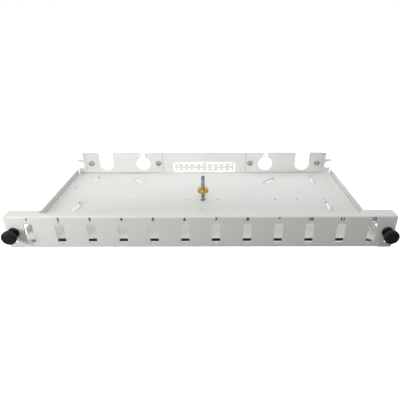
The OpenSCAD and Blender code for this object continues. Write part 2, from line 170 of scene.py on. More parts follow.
def cut(piece: bpy.types.Object, tools: Iterable[bpy.types.Object], how: Cut = Cut.REMOVE) -> None:
    """Cuts a piece with other solids, which are used up.

    Args:
        piece: The solid that stays.
        tools: The solids that cut it.
        how: Whether what they share goes or stays.
    """
    for tool in tools:
        modifier = piece.modifiers.new("Cut", "BOOLEAN")
        modifier.operation = how.value
        modifier.solver = "EXACT"
        modifier.object = tool
        apply_modifiers(piece)
        bpy.data.objects.remove(tool)


def outward(piece: bpy.types.Object, merge: float = 0.001) -> None:
    """Merges doubled points, then turns every face outwards.

    Args:
        piece: The mesh object.
        merge: Distance within which points are one, in millimetres.
    """
    begin_edit(piece, Select.VERTS, everything=True)
    bpy.ops.mesh.remove_doubles(threshold=merge * MM)
    bpy.ops.mesh.normals_make_consistent(inside=False)
    end_edit()


def smooth(piece: bpy.types.Object, angle: float = 35) -> None:
    """Shades a piece smooth, but for its sharp edges.

    Args:
        piece: The mesh object.
        angle: Degrees above which an edge is sharp.
    """
    make_active(piece)
    bpy.ops.object.shade_smooth_by_angle(angle=math.radians(angle))


def settle(piece: bpy.types.Object, place: Matrix) -> None:
    """Puts a piece in its place, in its mesh, so that its object is at the origin.

    Args:
        piece: The mesh object.
        place: Where it goes, in metres.
    """
    make_active(piece)
    piece.matrix_world = place
    bpy.ops.object.transform_apply(location=True, rotation=True, scale=True)


def copy_piece(piece: bpy.types.Object, name: str) -> bpy.types.Object:
    """A copy of a piece, with a mesh of its own.

    Args:
        piece: The mesh object.
        name: The copy's name.

    Returns:
        The copy.
    """
    make_active(piece)
    bpy.ops.object.duplicate(linked=False)
    twin = bpy.context.object
    rename(twin, name)
    return twin


def rename(piece: bpy.types.Object, name: str) -> bpy.types.Object:
    """Names a piece and its mesh, and returns it.

    Args:
        piece: The mesh object.
        name: The name.

    Returns:
        The same piece.
    """
    piece.name = name
    piece.data.name = name
    return piece


def join(pieces: Sequence[bpy.types.Object]) -> bpy.types.Object:
    """Joins pieces into the first of them.

    Args:
        pieces: The mesh objects.

    Returns:
        The first piece, which then holds them all.
    """
    make_active(pieces[0])
    for piece in pieces[1:]:
        piece.select_set(True)
    bpy.ops.object.join()
    return pieces[0]


def arc(centre: tuple[float, float], radius: float, start: float, stop: float, steps: int) -> Profile:
    """Points of a profile along an arc.

    Args:
        centre: Radius and height of the arc's centre.
        radius: The arc's own radius.
        start: First angle in degrees, from the outward direction towards the top.
        stop: Last angle.
        steps: Number of stretches.

    Returns:
        Pairs of radius and height.
    """
    turns = [math.radians(start + (stop - start) * i / steps) for i in range(steps + 1)]
    return [(centre[0] + radius * math.cos(t), centre[1] + radius * math.sin(t)) for t in turns]


def turned(name: str, profile: Profile, segments: int = 64) -> bpy.types.Object:
    """A solid as a lathe makes it: a disc, extruded and scaled from one step to the next.

    Args:
        name: The piece's name.
        profile: Pairs of radius and height, from one end of the solid to the other.
        segments: Number of sides.

    Returns:
        The solid, round the Z axis.
    """
    radius, height = profile[0]
    bpy.ops.object.select_all(action="DESELECT")
    bpy.ops.mesh.primitive_circle_add(
        vertices=segments, radius=radius * MM, fill_type="NGON", location=(0, 0, height * MM)
    )
    piece = rename(bpy.context.object, name)
    settle(piece, piece.matrix_world.copy())
    begin_edit(piece, Select.FACES, everything=True)
    for new_radius, new_height in profile[1:]:
        rise = (new_height - height) * MM
        bpy.ops.mesh.extrude_region_move(TRANSFORM_OT_translate={"value": (0, 0, rise)})
        share = new_radius / radius
        bpy.ops.transform.resize(value=(share, share, 1), center_override=(0, 0, new_height * MM))
        radius, height = new_radius, new_height
    end_edit()
    outward(piece)
    return piece


def block(size: tuple[float, float, float], centre: tuple[float, float, float]) -> bpy.types.Object:
    """A cutting block.

    Args:
        size: Its three sides.
        centre: Its middle.

    Returns:
        The block.
    """
    bpy.ops.object.select_all(action="DESELECT")
    bpy.ops.mesh.primitive_cube_add(size=1, location=Vector(centre) * MM, scale=Vector(size) * MM)
    piece = bpy.context.object
    bpy.ops.object.transform_apply(location=True, rotation=True, scale=True)
    return piece


def turn_about_z(piece: bpy.types.Object, degrees: float) -> bpy.types.Object:
    """Turns a piece about the Z axis and returns it."""
    settle(piece, Matrix.Rotation(math.radians(degrees), 4, "Z"))
    return piece


def threaded_rod(name: str, d: float, pitch: float, low: float, high: float, chamfer: float) -> bpy.types.Object:
    """A rod with a true helical thread and chamfered ends.

    Args:
        name: The piece's name.
        d: Outer diameter of the thread.
        pitch: Distance from one turn to the next.
        low: Height of the lower end.
        high: Height of the upper end.
        chamfer: Size of the chamfer at each end.

    Returns:
        The rod, along the Z axis.
    """
    crest, root = d / 2, d / 2 - 0.58 * pitch
    flat = 0.12 * pitch
    tooth = [(root, flat), (crest, 0.5 * pitch - flat / 2), (crest, 0.5 * pitch + flat / 2), (root, pitch)]
    start = low - 2 * pitch
    bpy.ops.object.select_all(action="DESELECT")
    bpy.ops.mesh.primitive_plane_add(size=MM)
    rod = rename(bpy.context.object, name)
    begin_edit(rod, Select.VERTS, everything=True)
    bpy.ops.mesh.merge(type="CENTER")
    bpy.ops.transform.translate(value=(root * MM, 0, start * MM))
    here = (root, 0.0)
    for point in tooth:
        step = ((point[0] - here[0]) * MM, 0, (point[1] - here[1]) * MM)
        bpy.ops.mesh.extrude_vertices_move(TRANSFORM_OT_translate={"value": step})
        here = point
    end_edit()
    helix = rod.modifiers.new("Thread", "SCREW")
    helix.axis = "Z"
    helix.screw_offset = pitch * MM
    helix.iterations = math.ceil((high - low) / pitch) + 4
    helix.steps = 28
    helix.render_steps = 28
    apply_modifiers(rod)
    outward(rod)
    for height, direction in ((low - pitch / 2, -1), (high + pitch / 2, 1)):
        begin_edit(rod, Select.VERTS, everything=True)
        bpy.ops.mesh.bisect(
            plane_co=(0, 0, height * MM), plane_no=(0, 0, direction), use_fill=True, clear_outer=True
        )
        end_edit()
    outward(rod)
    limit = turned("limit", [(crest - chamfer, low), (crest + 0.01, low + chamfer),
                             (crest + 0.01, high - chamfer), (crest - chamfer, high)], 56)
    cut(rod, [limit], Cut.KEEP_COMMON)
    return rod


# ---------------------------------------------------------------- node groups


class Sheet:
    """Lays nodes in one tree and links them."""

    def __init__(self, tree: bpy.types.NodeTree) -> None:
        """Starts on a tree.

        Args:
            tree: The material's or group's node tree.
        """
        self.tree = tree
        self.count = 0

    def node(self, kind: str, settings: Optional[dict] = None, **inputs: object) -> bpy.types.Node:
        """Adds a node.

        Args:
            kind: The node's type.
            settings: Properties of the node itself.
            inputs: Values or sockets for its inputs, with _ for a space.

        Returns:
            The node.
        """
        made = self.tree.nodes.new(kind)
        made.location = (220 * (self.count % 8), -260 * (self.count // 8))
        self.count += 1
        for key, value in (settings or {}).items():
            setattr(made, key, value)
        for key, value in inputs.items():
            name = key.replace("_", " ")
            socket = made.inputs[int(key[1:])] if key[0] == "i" and key[1:].isdigit() else made.inputs[name]
            self.feed(socket, value)
        return made

    def feed(self, socket: bpy.types.NodeSocket, value: object) -> None:
        """Links a socket to an input, or sets its value."""
        if isinstance(value, bpy.types.NodeSocket):
            self.tree.links.new(value, socket)
        else:
            socket.default_value = value

    def math(self, operation: str, a: object, b: object = 0.0, clamp: bool = False) -> bpy.types.NodeSocket:
        """A sum of two numbers.

        Args:
            operation: Blender's name for the sum.
            a: First number or socket.
            b: Second number or socket.
            clamp: Whether the result stays from 0 to 1.

        Returns:
            The result's socket.
        """
        return self.node("ShaderNodeMath", {"operation": operation, "use_clamp": clamp}, i0=a, i1=b).outputs[0]

    def noise(self, scale: object, detail: float, vector: object, rough: float = 0.5) -> bpy.types.NodeSocket:
        """A noise over the surface.

        Args:
            scale: Cells per metre.
            detail: Octaves.
            vector: Where it is read.
            rough: Strength of the finer octaves.

        Returns:
            Its value's socket.
        """
        made = self.node("ShaderNodeTexNoise", None, Scale=scale, Detail=detail, Roughness=rough, Vector=vector)
        return made.outputs[0]

    def span(self, value: object, low: float, high: float, to_low: float, to_high: float) -> bpy.types.NodeSocket:
        """Maps a value from one span to another, held inside it.

        Args:
            value: The socket.
            low: Value that becomes to_low.
            high: Value that becomes to_high.
            to_low: First result.
            to_high: Last result.

        Returns:
            The result's socket.
        """
        made = self.node("ShaderNodeMapRange", {"clamp": True})
        for index, number in enumerate((value, low, high, to_low, to_high)):
            self.feed(made.inputs[index], number)
        return made.outputs[0]

    def blend(self, share: object, first: object, second: object) -> bpy.types.NodeSocket:
        """Mixes two colours.

        Args:
            share: How much of the second, from 0 to 1.
            first: A colour or socket.
            second: A colour or socket.

        Returns:
            The colour's socket.
        """
        made = self.node("ShaderNodeMix", {"data_type": "RGBA"})
        for index, value in ((0, share), (6, first), (7, second)):
            self.feed(made.inputs[index], value)
        return made.outputs[2]

    def place(self) -> bpy.types.NodeSocket:
        """The place of a point, in metres, in the object's own frame."""
        return self.node("ShaderNodeTexCoord").outputs["Object"]


@dataclass(frozen=True)
class GroupSocket:
    """One input of a node group."""

    name: str
    value: float


def new_group(name: str, inputs: Sequence[GroupSocket], outputs: dict[str, str]) -> tuple[Sheet, bpy.types.Node]:
    """Starts a node group with named inputs and outputs.

    Args:
        name: The group's name.
        inputs: Its number inputs.
        outputs: Names of its outputs, with their socket types.

    Returns:
        The sheet to lay nodes on, and the group's input node.
    """
    tree = bpy.data.node_groups.new(name, "ShaderNodeTree")
    for item in inputs:
        socket = tree.interface.new_socket(item.name, in_out="INPUT", socket_type="NodeSocketFloat")
        socket.default_value = item.value
    for label, kind in outputs.items():
        tree.interface.new_socket(label, in_out="OUTPUT", socket_type=kind)
    sheet = Sheet(tree)
    return sheet, sheet.node("NodeGroupInput")


class Effects:
    """The surface effects that the finishes share, each built once as a node group."""

    def __init__(self) -> None:
        """Builds the groups."""
        self.skin = self._skin()
        self.worn_edges = self._worn_edges()
        self.painted_corner_shade = self._painted_corner_shade()
        self.dust = self._dust()
        self.mottle = self._mottle()
        self.rings = self._rings()

    @staticmethod
    def _skin() -> bpy.types.NodeTree:
        """A fine relief, such as orange peel or moulding grain, over softened edges."""
        sheet, given = new_group(
            "Skin relief",
            [GroupSocket("Scale", 900.0), GroupSocket("Depth", 0.00002), GroupSocket("Strength", 0.3),
             GroupSocket("Edge Radius", 0.0002)],
            {"Normal": "NodeSocketVector", "Height": "NodeSocketFloat"},
        )
        coarse = sheet.noise(given.outputs["Scale"], 2.0, sheet.place())
        fine = sheet.noise(sheet.math("MULTIPLY", given.outputs["Scale"], 3.1), 2.0, sheet.place())
        height = sheet.math("ADD", sheet.math("MULTIPLY", coarse, 0.7), sheet.math("MULTIPLY", fine, 0.3))
        edge = sheet.node("ShaderNodeBevel", {"samples": 4}, Radius=given.outputs["Edge Radius"])
        bump = sheet.node("ShaderNodeBump", None, Strength=given.outputs["Strength"],
                          Distance=given.outputs["Depth"], Height=height, Normal=edge.outputs[0])
        sheet.node("NodeGroupOutput", None, Normal=bump.outputs[0], Height=height)
        return sheet.tree

    @staticmethod
    def _worn_edges() -> bpy.types.NodeTree:
        """A broken mask along the edges, where the finish is thin."""
        sheet, given = new_group(
            "Worn edges", [GroupSocket("Radius", 0.0006), GroupSocket("Amount", 0.5)],
            {"Mask": "NodeSocketFloat"},
        )
        edge = sheet.node("ShaderNodeBevel", {"samples": 4}, Radius=given.outputs["Radius"])
        face = sheet.node("ShaderNodeNewGeometry")
        same = sheet.node("ShaderNodeVectorMath", {"operation": "DOT_PRODUCT"},
                          i0=edge.outputs[0], i1=face.outputs["Normal"]).outputs["Value"]
        rim = sheet.span(same, 0.99, 0.75, 0.0, 1.0)
        patches = sheet.span(sheet.noise(260.0, 3.0, sheet.place()), 0.42, 0.62, 0.0, 1.0)
        mask = sheet.math("MULTIPLY", sheet.math("MULTIPLY", rim, patches), given.outputs["Amount"], True)
        sheet.node("NodeGroupOutput", None, Mask=mask)
        return sheet.tree

    @staticmethod
    def _painted_corner_shade() -> bpy.types.NodeTree:
        """A mask of painted shade, which darkens the corners, steps and hole walls where ambient occlusion finds
        little open space.
        """
        sheet, given = new_group(
            "Painted corner shade", [GroupSocket("Distance", 0.002), GroupSocket("Amount", 0.5)],
            {"Mask": "NodeSocketFloat"},
        )
        open_share = sheet.node("ShaderNodeAmbientOcclusion", {"samples": 8}, Distance=given.outputs["Distance"])
        shaded_share = sheet.span(open_share.outputs["AO"], 0.95, 0.5, 0.0, 1.0)
        mask = sheet.math("MULTIPLY", shaded_share, given.outputs["Amount"], True)
        sheet.node("NodeGroupOutput", None, Mask=mask)
        return sheet.tree

    @staticmethod
    def _dust() -> bpy.types.NodeTree:
        """A thin film of dust that lies on what faces up."""
        sheet, given = new_group(
            "Dust film", [GroupSocket("Amount", 0.3), GroupSocket("Scale", 60.0)],
            {"Mask": "NodeSocketFloat"},
        )
        face = sheet.node("ShaderNodeNewGeometry")
        parts = sheet.node("ShaderNodeSeparateXYZ", None, Vector=face.outputs["Normal"])
        up = sheet.span(parts.outputs["Z"], 0.2, 0.95, 0.0, 1.0)
        clouds = sheet.span(sheet.noise(given.outputs["Scale"], 5.0, sheet.place(), 0.62), 0.4, 0.75, 0.0, 1.0)
        specks = sheet.span(sheet.noise(2600.0, 1.0, sheet.place()), 0.69, 0.76, 0.0, 1.0)
        film = sheet.math("ADD", clouds, specks, True)
        mask = sheet.math("MULTIPLY", sheet.math("MULTIPLY", film, up), given.outputs["Amount"], True)
        sheet.node("NodeGroupOutput", None, Mask=mask)
        return sheet.tree

    @staticmethod
    def _mottle() -> bpy.types.NodeTree:
        """Broad and fine cloudiness, from 0 to 1."""
        sheet, given = new_group(
            "Mottle", [GroupSocket("Scale", 14.0), GroupSocket("Fine Scale", 300.0)],
            {"Value": "NodeSocketFloat"},
        )
        broad = sheet.noise(given.outputs["Scale"], 3.0, sheet.place())
        fine = sheet.noise(given.outputs["Fine Scale"], 3.0, sheet.place())
        value = sheet.math("ADD", sheet.math("MULTIPLY", broad, 0.65), sheet.math("MULTIPLY", fine, 0.35))
        sheet.node("NodeGroupOutput", None, Value=sheet.span(value, 0.3, 0.7, 0.0, 1.0))
        return sheet.tree

    @staticmethod
    def _rings() -> bpy.types.NodeTree:
        """The fine lines that a lathe leaves, round an upright axis at a given place."""
        sheet, given = new_group(
            "Turning lines", [GroupSocket("Axis X", 0.0), GroupSocket("Axis Y", 0.0), GroupSocket("Lines", 9000.0)],
            {"Height": "NodeSocketFloat"},
        )
        parts = sheet.node("ShaderNodeSeparateXYZ", None, Vector=sheet.place())
        across = sheet.math("SUBTRACT", parts.outputs["X"], given.outputs["Axis X"])
        along = sheet.math("SUBTRACT", parts.outputs["Y"], given.outputs["Axis Y"])
        square = sheet.math("ADD", sheet.math("MULTIPLY", across, across), sheet.math("MULTIPLY", along, along))
        reach = sheet.math("ADD", sheet.math("SQRT", square), sheet.math("MULTIPLY", parts.outputs["Z"], 0.6))
        wobble = sheet.math("MULTIPLY", sheet.noise(400.0, 2.0, sheet.place()), 2.5)
        turns = sheet.math("ADD", sheet.math("MULTIPLY", reach, given.outputs["Lines"]), wobble)
        sheet.node("NodeGroupOutput", None, Height=sheet.span(sheet.math("SINE", turns), -1.0, 1.0, 0.0, 1.0))
        return sheet.tree


# ---------------------------------------------------------------- finishes


@dataclass(frozen=True)
class Finish:
    """What every finish has: a name, colours, gloss and relief."""

    name: str
    colour: tuple[float, float, float]
    shade: tuple[float, float, float]
    worn: tuple[float, float, float]
    dusty: tuple[float, float, float]
    roughness: tuple[float, float]
    metallic: float
    specular: float
    skin_scale: float
    skin_depth: float
    edge_radius: float
    edge_wear: float
    dust: float
    coat: float = 0.0
    # Strength of the painted shade in corners, steps and hole walls.
    painted_shade_amount: float = 0.3
    turned_at: Optional[tuple[float, float]] = None

    def material(self, effects: Effects) -> bpy.types.Material:
        """Makes the material.

        Args:
            effects: The shared node groups.

        Returns:
            The material.
        """
        made = bpy.data.materials.new(self.name)
        made.use_nodes = True
        made.node_tree.nodes.clear()
        sheet = Sheet(made.node_tree)
        skin = self._group(sheet, effects.skin, {"Scale": self.skin_scale, "Depth": self.skin_depth,
                                                 "Strength": 1.0, "Edge Radius": self.edge_radius})
        wear = self._group(sheet, effects.worn_edges, {"Radius": 2.5 * self.edge_radius, "Amount": self.edge_wear})
        dust = self._group(sheet, effects.dust, {"Amount": self.dust})
        mottle = self._group(sheet, effects.mottle, {}).outputs["Value"]
        colour = sheet.blend(mottle, (*self.colour, 1), (*self.shade, 1))
        colour = sheet.blend(wear.outputs["Mask"], colour, (*self.worn, 1))
        colour = sheet.blend(dust.outputs["Mask"], colour, (*self.dusty, 1))
        # Painted shade: corners, steps and hole walls are darkened towards a quarter of the shade tone.
        corner_shade_node = self._group(sheet, effects.painted_corner_shade, {"Amount": self.painted_shade_amount})
        colour = sheet.blend(corner_shade_node.outputs["Mask"], colour, (*(0.25 * part for part in self.shade), 1))
        rough = sheet.span(mottle, 0.0, 1.0, *self.roughness)
        rough = sheet.math("ADD", rough, sheet.math("MULTIPLY", dust.outputs["Mask"], 0.35), True)
        normal = skin.outputs["Normal"]
        if self.turned_at is not None:
            lines = self._group(sheet, effects.rings, {"Axis X": self.turned_at[0], "Axis Y": self.turned_at[1]})
            normal = sheet.node("ShaderNodeBump", None, Strength=0.35, Distance=0.00002,
                                Height=lines.outputs["Height"], Normal=normal).outputs[0]
        shader = sheet.node("ShaderNodeBsdfPrincipled", None, Base_Color=colour, Roughness=rough, Normal=normal)
        shader.inputs["Metallic"].default_value = self.metallic
        shader.inputs["Specular IOR Level"].default_value = self.specular
        shader.inputs["Coat Weight"].default_value = self.coat
        shader.inputs["Coat Roughness"].default_value = 0.12
        out = sheet.node("ShaderNodeOutputMaterial")
        sheet.feed(out.inputs["Surface"], shader.outputs[0])
        return made

    @staticmethod
    def _group(sheet: Sheet, tree: bpy.types.NodeTree, values: dict[str, float]) -> bpy.types.Node:
        """Places a node group in a material with its own values.

        Args:
            sheet: The material's sheet.
            tree: The group.
            values: Values of its inputs.

        Returns:
            The group's node.
        """
        made = sheet.node("ShaderNodeGroup", {"node_tree": tree})
        for label, value in values.items():
            made.inputs[label].default_value = value
        return made


POWDER_COAT = Finish(
    name="powder_coat_light_grey", colour=(0.70, 0.71, 0.69), shade=(0.69, 0.70, 0.68),
    worn=(0.80, 0.80, 0.78), dusty=(0.60, 0.59, 0.56), roughness=(0.30, 0.33), metallic=0.0,
    specular=0.5, skin_scale=700.0, skin_depth=0.000006, edge_radius=0.00035, edge_wear=0.15, dust=0.005,
    # Strong painted corner shade; it draws the dark lines along the gland plates' edges.
    painted_shade_amount=0.85,
)
BLACK_NYLON = Finish(
    name="moulded_black_nylon", colour=(0.007, 0.007, 0.007), shade=(0.012, 0.012, 0.012),
    worn=(0.03, 0.03, 0.03), dusty=(0.06, 0.058, 0.056), roughness=(0.34, 0.46), metallic=0.0,
    specular=0.25, skin_scale=2600.0, skin_depth=0.00003, edge_radius=0.0002, edge_wear=0.2, dust=0.05,
)
ZINC = Finish(
    name="zinc_plated_steel", colour=(0.60, 0.61, 0.62), shade=(0.42, 0.43, 0.44),
    worn=(0.75, 0.75, 0.75), dusty=(0.42, 0.41, 0.38), roughness=(0.18, 0.34), metallic=1.0,
    specular=0.5, skin_scale=3000.0, skin_depth=0.00001, edge_radius=0.0001, edge_wear=0.4, dust=0.10,
)
NUMBER_INK = Finish(
    name="black_ink", colour=(0.012, 0.012, 0.014), shade=(0.03, 0.03, 0.032),
    worn=(0.10, 0.10, 0.10), dusty=(0.2, 0.2, 0.19), roughness=(0.45, 0.6), metallic=0.0,
    specular=0.4, skin_scale=4000.0, skin_depth=0.000005, edge_radius=0.00005, edge_wear=0.1, dust=0.0,
)


def turned_brass(axis: Vector) -> Finish:
    """Brass with turning lines round an upright axis.

    Args:
        axis: A point on the axis, in metres.

    Returns:
        The finish.
    """
    return Finish(
        name="turned_brass", colour=(0.86, 0.60, 0.17), shade=(0.72, 0.46, 0.10),
        worn=(0.95, 0.76, 0.36), dusty=(0.5, 0.42, 0.25), roughness=(0.20, 0.34), metallic=1.0,
        specular=0.5, skin_scale=2400.0, skin_depth=0.00001, edge_radius=0.00015, edge_wear=0.5,
        dust=0.08, turned_at=(axis.x, axis.y),
    )


# ---------------------------------------------------------------- sub-assemblies


def dress(piece: bpy.types.Object, material: bpy.types.Material) -> None:
    """Gives a piece one material all over.

    Args:
        piece: The object.
        material: The material.
    """
    piece.data.materials.clear()
    piece.data.materials.append(material)
    for face in piece.data.polygons:
        face.material_index = 0


def hand_over(piece: bpy.types.Object, body: str, slot: str, *nodes: str) -> None:
    """Makes a finished piece part of the model.

    Args:
        piece: The object, in place.
        body: The CAD body that it moves with.
        slot: The name of a material slot in the record. It is not used.
        nodes: The CAD nodes that it stands for.
    """
    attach(piece, body)
    if nodes:
        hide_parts(*nodes)
    log.info("%s: %d faces, on %s", piece.name, len(piece.data.polygons), body)


def middle(node: str) -> Vector:
    """The middle of a CAD node's box, in metres."""
    low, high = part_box(node)
    return (low + high) / 2


def facing_back(point: Vector) -> Matrix:
    """The place that turns a piece's Z axis to the back, with its origin at a point."""
    return Matrix.Translation(point) @ Matrix.Rotation(math.radians(-90), 4, "X")


@dataclass
class SheetMetal:
    """The folded panel and tray and the gland plates, whose CAD shapes stay."""

    nodes: tuple[str, ...] = ("front_panel", "tray", "gland_plate_left", "gland_plate_right")

    def build(self, coat: bpy.types.Material) -> None:
        """Paints the sheet metal.

        Args:
            coat: The powder coat.
        """
        for name in self.nodes:
            dress(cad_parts[name], coat)
            log.info("%s painted", name)


@dataclass
class PortNumbers:
    """The numbers printed over the ports."""

    count: int = 12
    pitch: float = 38.7
    height: float = 6.0
    centre_z: float = 40.1
    ink: float = 0.03
    bold: float = 0.3

    def build(self, ink: bpy.types.Material) -> None:
        """Prints one number over each port.

        Args:
            ink: The ink's material.
        """
        low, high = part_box("front_panel")
        for index in range(self.count):
            number = self._number(str(index + 1))
            x = (low.x + high.x) / 2 + (index - (self.count - 1) / 2) * self.pitch * MM
            upright = Matrix.Rotation(math.radians(90), 4, "X")
            settle(number, Matrix.Translation((x, low.y - self.ink * MM / 2, low.z + self.centre_z * MM)) @ upright)
            dress(number, ink)
            hand_over(number, FRAME_BODY, "black_nylon")

    def _number(self, text: str) -> bpy.types.Object:
        """One number as a thin raised print, its middle at the origin.

        Args:
            text: The number.

        Returns:
            The mesh object, which lies in X and Y.
        """
        bpy.ops.object.select_all(action="DESELECT")
        bpy.ops.object.text_add(location=(0, 0, 0))
        letters = bpy.context.object
        letters.data.body = text
        letters.data.align_x = "CENTER"
        letters.data.align_y = "CENTER"
        letters.data.size = self.height * MM
        letters.data.offset = self.bold * MM
        letters.data.extrude = self.ink * MM / 2
        letters.data.resolution_u = 6
        bpy.ops.object.convert(target="MESH")
        return rename(bpy.context.object, f"port_number_{text}")


@dataclass
class Latch:
    """One push-pull latch: a split grommet in the ear and a plunger with a mushroom head."""

    side: str
    head_d: float = 18.0
    head_t: float = 6.2
    head_round: float = 2.0
    head_step: float = 0.8
    dish_d: float = 12.4
    dish_depth: float = 0.35
    shank_d: float = 5.0
    tip: float = 1.0
    collar_d: float = 13.4
    collar_t: float = 3.0
    ribs: int = 24
    rib_depth: float = 0.35
    barrel_d: float = 9.0
    sheet: float = 1.2
    barb: float = 0.6
    barb_l: float = 1.5
    seat: float = 0.1
    leg_l: float = 16.0
    leg_slot: float = 1.4
    bore_gap: float = 0.08

    def build(self, nylon: bpy.types.Material) -> None:
        """Builds the plunger and the grommet.

        Args:
            nylon: The material of both.
        """
        self._plunger(nylon)
        self._grommet(nylon)

    def _plunger(self, nylon: bpy.types.Material) -> None:
        """The mushroom head with its shank."""
        node = f"latch_plunger_{self.side}"
        low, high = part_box(node)
        radius, rim = self.head_d / 2, self.head_round
        length = (high.y - low.y) / MM - self.head_t
        front = -self.head_t
        dish = self.dish_d / 2
        profile = [(0.8, front + self.dish_depth), (dish - 0.5, front + self.dish_depth)]
        profile += arc((dish - 0.5, front + 0.5 + self.dish_depth - 0.35), 0.5, -90, -45, 3)[1:]
        profile += [(dish + 0.3, front)]
        profile += arc((radius - rim, front + rim), rim, -90, 0, 10)
        profile += arc((radius - 0.3, -self.head_step - 0.3), 0.3, 0, 90, 4)
        profile += [(radius - self.head_step, -self.head_step), (radius - self.head_step, -0.2),
                    (radius - self.head_step - 0.2, 0.0), (self.shank_d / 2 + 0.3, 0.0)]
        profile += [(self.shank_d / 2 + 0.08, 0.08), (self.shank_d / 2, 0.24)]
        profile += [(self.shank_d / 2, length - self.tip), (self.shank_d / 2 - self.tip, length)]
        plunger = turned(node + "_moulded", profile, 96)
        smooth(plunger, 30)
        settle(plunger, facing_back(Vector((middle(node).x, low.y + self.head_t * MM, middle(node).z))))
        dress(plunger, nylon)
        hand_over(plunger, f"{self.side}_plunger", "black_nylon", node)

    def _grommet(self, nylon: bpy.types.Material) -> None:
        """The ribbed collar with its barrel and its four split, barbed legs."""
        node = f"latch_grommet_{self.side}"
        low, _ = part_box(node)
        radius, barrel, back = self.collar_d / 2, self.barrel_d / 2, self.sheet + self.seat
        collar = turned(node + "_moulded", [
            (barrel - 0.5, -self.collar_t), (radius - 0.5, -self.collar_t), (radius, -self.collar_t + 0.5),
            (radius, -0.3), (radius - 0.1, 0.0), (barrel, 0.0), (barrel, back),
            (barrel + self.barb, back + self.barb_l), (barrel - self.barb, self.sheet + self.leg_l),
            (barrel - self.barb - 0.4, self.sheet + self.leg_l),
        ], 2 * self.ribs)
        step = 180 / self.ribs

        def is_groove(centre: Vector, normal: Vector) -> bool:
            """Whether a face is every second one round the collar's rim."""
            turn = round((math.degrees(math.atan2(centre.y, centre.x)) - step / 2) / step)
            return abs(normal.z) < 0.1 and centre.z < -0.3 and turn % 2 == 0

        select_faces(collar, is_groove)
        bpy.ops.mesh.inset(thickness=0.18 * MM, use_individual=True)
        bpy.ops.transform.shrink_fatten(value=-self.rib_depth * MM)
        end_edit()
        hole = self.shank_d / 2 + self.bore_gap
        end = self.sheet + self.leg_l + 1
        tools = [turned("bore", [(hole, -self.collar_t - 1), (hole, end)], 48)]
        for degrees in (45, 135):
            slot = block((3 * barrel, self.leg_slot, self.leg_l + 2), (0, 0, back + self.leg_l / 2 + 1))
            tools.append(turn_about_z(slot, degrees))
        cut(collar, tools)
        outward(collar)
        smooth(collar, 30)
        settle(collar, facing_back(Vector((middle(node).x, low.y + self.collar_t * MM, middle(node).z))))
        dress(collar, nylon)
        hand_over(collar, FRAME_BODY, "black_nylon", node)


@dataclass
class GlandScrews:
    """The pan-head screws of the gland plates, with their split washers and clinch nuts."""

    places: tuple[str, ...] = ("left_outer", "left_inner", "right_inner", "right_outer")
    screw_d: float = 4.0
    pitch: float = 0.7
    head_d: float = 8.0
    head_h: float = 2.9
    crown: float = 1.1
    recess_w: float = 1.05
    recess_depth: float = 1.7
    washer_d: float = 9.2
    washer_t: float = 0.8
    washer_gap: float = 0.7
    turns: tuple[float, ...] = (12, 57, 31, 78)

    def build(self, zinc: bpy.types.Material) -> None:
        """Builds a screw and a washer once and sets a copy at each place.

        Args:
            zinc: The plating.
        """
        screw, washer = self._screw(), self._washer()
        for place, turn in zip(self.places, self.turns):
            low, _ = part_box(f"gland_screw_{place}")
            at = Vector((middle(f"gland_screw_{place}").x, low.y + self.head_h * MM, middle(f"gland_screw_{place}").z))
            spun = facing_back(at) @ Matrix.Rotation(math.radians(turn), 4, "Z")
            for kind, master in (("gland_screw", screw), ("lock_washer", washer)):
                piece = copy_piece(master, f"{kind}_{place}_plated")
                settle(piece, spun)
                dress(piece, zinc)
                hand_over(piece, FRAME_BODY, "zinc_steel", f"{kind}_{place}")
            dress(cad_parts[f"clinch_nut_{place}"], zinc)
        for master in (screw, washer):
            bpy.data.objects.remove(master)

    def _screw(self) -> bpy.types.Object:
        """A pan-head screw with a cross recess, its head on the side of -Z."""
        node_low, node_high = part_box(f"gland_screw_{self.places[0]}")
        length = (node_high.y - node_low.y) / MM - self.head_h
        radius = self.head_d / 2
        flank = self.head_h - self.crown
        head = turned("head", [(1.2, -self.head_h), (radius - 1.6, -self.head_h + 0.08)]
                      + arc((radius - 1.15, -flank - 0.0), 1.15, -75, 0, 8)
                      + [(radius, -0.25), (radius - 0.25, 0.0)], 64)
        recess = []
        for degrees in (0, 90):
            wing = block((self.head_d * 0.56, self.recess_w, 2 * self.recess_depth), (0, 0, -self.head_h))
            select_faces(wing, lambda centre, normal: normal.z > 0.9)
            bpy.ops.transform.resize(value=(0.42, 0.8, 1))
            end_edit()
            recess.append(turn_about_z(wing, degrees))
        cut(head, recess)
        outward(head)
        shank = threaded_rod("shank", self.screw_d, self.pitch, 0.0, length, 0.3)
        screw = join([head, shank])
        smooth(screw, 32)
        return screw

    def _washer(self) -> bpy.types.Object:
        """A split washer: a square-cornered ring with a slanted cut."""
        radius, bevel = self.washer_d / 2, 0.12
        ring = turned("washer", [(radius - bevel, 0.0), (radius, bevel), (radius, self.washer_t - bevel),
                                 (radius - bevel, self.washer_t)], 72)
        hole = turned("bore", [(self.screw_d / 2 + 0.2, -1.0), (self.screw_d / 2 + 0.2, self.washer_t + 1)], 48)
        split = block((radius * 1.5, self.washer_gap, 4 * self.washer_t), (radius * 0.95, 0, self.washer_t / 2))
        settle(split, Matrix.Rotation(math.radians(28), 4, "X"))
        cut(ring, [hole, split])
        outward(ring)
        smooth(ring, 30)
        return ring


